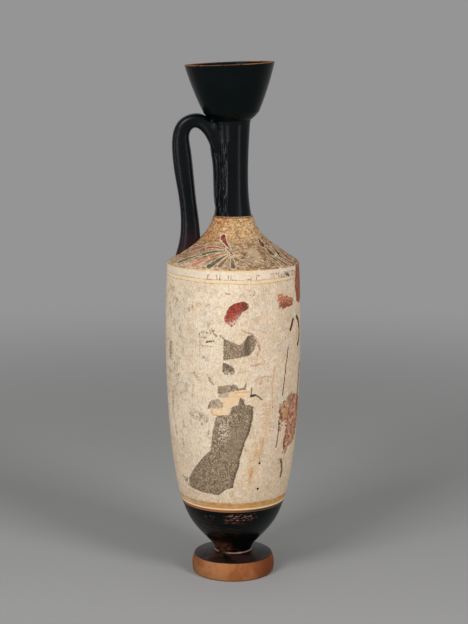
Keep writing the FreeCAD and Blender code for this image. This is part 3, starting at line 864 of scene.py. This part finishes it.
def palmettes(s):
    """A palmette in front with leaves round its heart, and what is left of one on the right."""
    s.leaf_wear = s.step(s.spots, 0.6, 0.44)
    for start, end, width, tint, strength in [
        ((-5.3, -30.1), (-18.5, -23.4), 2.2, rgb(150, 62, 46), 0.9),
        ((-19.5, -21.9), (-29.0, -15.4), 4.4, CRIMSON, 0.75),
        ((-6.0, -31.3), (-23.3, -28.3), 2.8, GREEN_GREY, 0.9),
        ((-23.3, -28.3), (-38.6, -23.0), 3.2, GREEN_GREY, 0.9),
        ((-4.3, -33.3), (-16.5, -34.6), 2.0, RED_BROWN, 0.95),
        ((-17.5, -35.0), (-28.0, -35.9), 4.0, PINK, 0.85),
        ((-4.6, -35.3), (-16.6, -42.4), 4.4, GREEN_GREY, 0.9),
        ((-3.1, -36.2), (-9.2, -44.0), 3.4, rgb(118, 76, 56), 0.85),
        ((-0.9, -37.9), (0.2, -45.6), 3.6, rgb(80, 72, 56), 0.9),
        ((-1.5, -29.0), (-1.1, -21.6), 1.5, GREEN_GREY, 0.4),
        ((-2.1, -31.0), (-7.2, -20.6), 3.4, rgb(118, 28, 42), 0.98),
        ((-4.2, -29.6), (-0.6, -34.6), 1.5, RED_DARK, 0.9),
        ((28.0, -9.7), (34.6, -19.4), 4.0, rgb(58, 50, 38), 0.98),
        ((30.8, -5.3), (40.4, -14.4), 4.6, rgb(130, 56, 40), 0.98),
        ((34.5, -18), (43, -20), 3.6, rgb(84, 60, 44), 0.9),
        ((29, -25), (38, -27), 3.4, rgb(96, 70, 52), 0.85),
        ((24.5, -28), (33, -33), 2.4, rgb(104, 78, 58), 0.7),
        ((17.8, -13.4), (21.7, -18.0), 5.4, rgb(84, 36, 32), 0.98),
        ((23.4, -18.0), (27.6, -22.8), 4.8, rgb(84, 46, 36), 0.95),
        ((7.8, -38.8), (13.7, -41.0), 2.4, rgb(104, 86, 68), 0.75),
        ((16, -36), (24, -37.5), 2.2, rgb(120, 98, 76), 0.7),
    ]:
        s.leaf(start, end, width, tint, strength)
    from_heart = s.along("DISTANCE", s.flat_exact, (14.7, -30.2, 0))
    disc = s.times(s.step(from_heart, 5.2, 3.6), s.on_shoulder)
    s.paint(disc, rgb(190, 164, 132), 0.75)
    dabs = s.times(s.step(s.fine, 0.46, 0.58), s.on_shoulder, 0.8)
    for place in [(-16.7, -18.2), (-12.3, -20.0), (-21.1, -17.3), (33.5, -27.5), (28, -33), (38, -21)]:
        s.draw(s.flat, [place], 2.6, rgb(88, 66, 44), dabs, 1.0)


def gloss(s):
    """The black slip of the mouth, neck, handle and lower body, thin and brown in places, with painted sheen on
    the neck and handle.
    """
    slope = [(14.1, NECK_BASE), (16, 265.6), (19.5, 259.4), (23.5, 254.7), (28.5, 250.5), (48, 237)]
    over = s.minus(s.z, s.curve(s.radius, slope))        # how far above the shoulder, for the strap
    strap = s.times(s.step(s.x, -19, -20), s.step(over, 0.3, 0.9))
    strap = s.times(strap, s.step(s.z, CORNER, CORNER + 2))
    neck = s.step(s.z, NECK_BASE - 0.3, NECK_BASE + 0.1)
    foot = s.step(s.z, BLACK_TOP + 0.15, BLACK_TOP - 0.15)
    right = s.times(s.step(s.deg, -10, 30), s.within(s.z, BLACK_TOP, 57.4, 0.3))
    foot = s.math("MAXIMUM", foot, s.times(right, 0.85))
    streaks = s.noise(s.stretched(s.place, 0.16, 0.16, 1.0), 1.6, 3, 0.7)
    black = s.mix(s.step(s.clouds, 0.5, 0.75), BLACK, BLACK_BLUE, 0.5)
    left = s.step(s.plus(s.deg, s.sway(s.clouds, 90)), 45, -45)
    thin = s.times(s.step(streaks, 0.46, 0.62), left, s.step(s.z, 53, 44))
    black = s.mix(thin, black, BLACK_BROWN, 0.75)
    # painted sheen: the black of the neck and handle made lighter and bluish
    neck_sheen = s.times(s.within(s.z, CORNER, NECK_TOP, 3), s.step(s.radius, 60, 50))
    black = s.mix(s.times(neck_sheen, s.blend(s.clouds, 0.4, 1)), black, rgb(14, 16, 19))
    root = s.times(strap, s.step(s.z, 268, 246), s.blend(s.spots, 0.3, 1))
    black = s.mix(root, black, rgb(52, 24, 26), 0.8)
    disc = s.times(s.within(s.z, 13, 17, 0.4), s.step(s.radius, 15, 17))
    black = s.mix(s.times(disc, s.step(s.clouds, 0.4, 0.6)), black, rgb(56, 38, 32), 0.55)
    s.is_black = s.math("MAXIMUM", s.math("MAXIMUM", strap, neck), foot)
    s.paint(s.is_black, black)
    line = s.within(s.z, NECK_BASE - 1.3, NECK_BASE - 0.5, 0.3)
    line = s.times(line, s.step(s.radius, 17, 16))
    s.paint(line, rgb(104, 48, 32), 0.8)


def scratches(s):
    """Reddish places where the black has worn off the lower body, the stem and the foot."""
    hatch = s.noise(s.stretched(s.place, 0.3, 0.3, 1.2), 1.1, 3, 0.7)
    for turn, height, wide, tall, strength in [
        (9, 51.2, 17, 2.6, 0.85), (-27, 50.6, 7, 1.2, 0.55), (1, 47.4, 9, 1.6, 0.35),
    ]:
        where = s.within(s.deg, turn - wide, turn + wide, 5)
        where = s.times(where, s.within(s.z, height - tall, height + tall, 0.9))
        bright = s.times(where, s.step(hatch, 0.55, 0.61), strength)
        s.paint(bright, rgb(176, 122, 104))
    stem = s.times(s.within(s.z, 18, 26.5, 1.4), s.within(s.deg, -75, -8, 10))
    s.paint(s.times(stem, s.step(s.spots, 0.36, 0.56)), rgb(104, 62, 44), 0.75)
    joint = s.within(s.z, JOINT - 0.3, JOINT + 0.4, 0.2)
    kept = s.times(s.step(s.clouds, 0.36, 0.44), s.step(s.spots, 0.36, 0.46))
    s.paint(s.times(joint, kept), rgb(176, 120, 104), 0.7)


def bare_clay(s):
    """Bare clay: parts of the lip's top, the foot's edge, the underside and the inside of the body."""
    # painted light and shade: the clay is lighter at the front left, where the key lamp falls, and darker round
    # to the right and at the far left
    clay = s.mix(s.step(s.deg, -30, 4), CLAY_LIT, CLAY)
    clay = s.mix(s.step(s.deg, 6, 58), clay, CLAY_SHADED)
    clay = s.mix(s.step(s.deg, -36, -66), clay, rgb(126, 76, 42))
    clay = s.mix(s.step(s.spots, 0.46, 0.66), clay, rgb(120, 66, 38), 0.4)
    clay = s.mix(s.step(s.clouds, 0.56, 0.4), clay, rgb(182, 126, 82), 0.3)
    dots = s.step(s.noise(s.place, 1.5, 1), 0.7, 0.77)
    clay = s.mix(dots, clay, rgb(74, 42, 28), 0.7)
    low = s.step(s.z, 1.3, 0.5)
    clay = s.mix(low, clay, rgb(84, 50, 34), 0.6)
    uneven = s.sway(s.clouds, 1.4)
    edge = s.step(s.plus(s.z, uneven), FOOT_TOP, FOOT_TOP - 0.3)
    edge = s.times(edge, s.step(s.radius, FOOT_RADIUS - 0.5, FOOT_RADIUS))
    under = s.step(s.z, 8.5, 7.5)
    from_mouth = s.along("SUBTRACT", s.place, MOUTH_BASE)
    height = s.along("DOT_PRODUCT", from_mouth, MOUTH_AXIS)
    kept = s.math("MAXIMUM", s.step(s.x, 2, 12), s.step(s.x, -18, -25))
    kept = s.math("MAXIMUM", kept, 0.35)
    kept = s.times(kept, s.step(s.spots, 0.34, 0.46))
    lip = s.times(s.step(height, LIP - 0.1, LIP + 0.1), kept)
    geometry = s.add("NewGeometry")
    outward = s.along("DOT_PRODUCT", geometry.outputs["Normal"], s.flat_exact)
    inside = s.times(s.step(outward, 0.0005, -0.0005), s.within(s.z, 26, 232, 1))
    s.bare = s.math("MAXIMUM", s.math("MAXIMUM", edge, under), s.math("MAXIMUM", lip, inside))
    s.paint(s.bare, clay)


def finish(s):
    """Roughness and relief: matt where slip or clay shows, glossy with wheel marks on the black."""
    shader = s.add("BsdfPrincipled")
    s.feed(shader.inputs["Base Color"], s.shade)
    glossy = s.times(s.is_black, s.minus(1, s.bare))
    matt = s.blend(s.spots, *MATT)
    sheen = s.blend(s.clouds, *SHEEN)
    shader.inputs["Specular IOR Level"].default_value = SPECULAR
    wheel = s.noise(s.stretched(s.place, 0.08, 0.08, 1), 1.5, 2)
    relief = s.plus(s.times(s.fine, 0.6), s.times(s.spots, 0.8))
    smeared = s.times(
        s.within(s.z, *SMEAR, 5), s.step(s.radius, 22, 19), s.within(s.deg, -125, -12, 8))
    folds = s.noise(s.stretched(s.place, 1, 1, 0.09), 3.0, 1, 0.4, 0.3)
    wavy = s.plus(s.times(wheel, 0.3), s.times(s.spots, 0.25))
    wavy = s.plus(wavy, s.times(smeared, folds, SMEAR_FOLDS))
    sheen = s.blend(smeared, sheen, SMEAR_SHEEN)
    s.feed(shader.inputs["Roughness"], s.blend(glossy, matt, sheen))
    height = s.blend(glossy, relief, wavy)
    bump = s.add("Bump")
    bump.inputs["Strength"].default_value = BUMP_STRENGTH
    bump.inputs["Distance"].default_value = BUMP_DISTANCE
    s.feed(bump.inputs["Height"], height)
    s.feed(shader.inputs["Normal"], bump.outputs[0])
    s.feed(s.add("OutputMaterial").inputs[0], shader.outputs[0])


def painted_clay():
    material = new_material("painted_clay")
    s = Surface(material.node_tree)
    for coat in (white_ground, stains, shoulder, bands, key_pattern, near_figure, far_figure, lines, bare_strip,
                 palmettes, gloss, scratches, bare_clay, finish):
        coat(s)
    return material


camera()
stage()
world()
for settings in LAMPS:
    lamp(*settings)
bpy.context.scene.view_settings.view_transform = "Standard"
clay = painted_clay()
vase = frame["nodes"]["lekythos"]
for slot in vase.material_slots:
    slot.material = clay
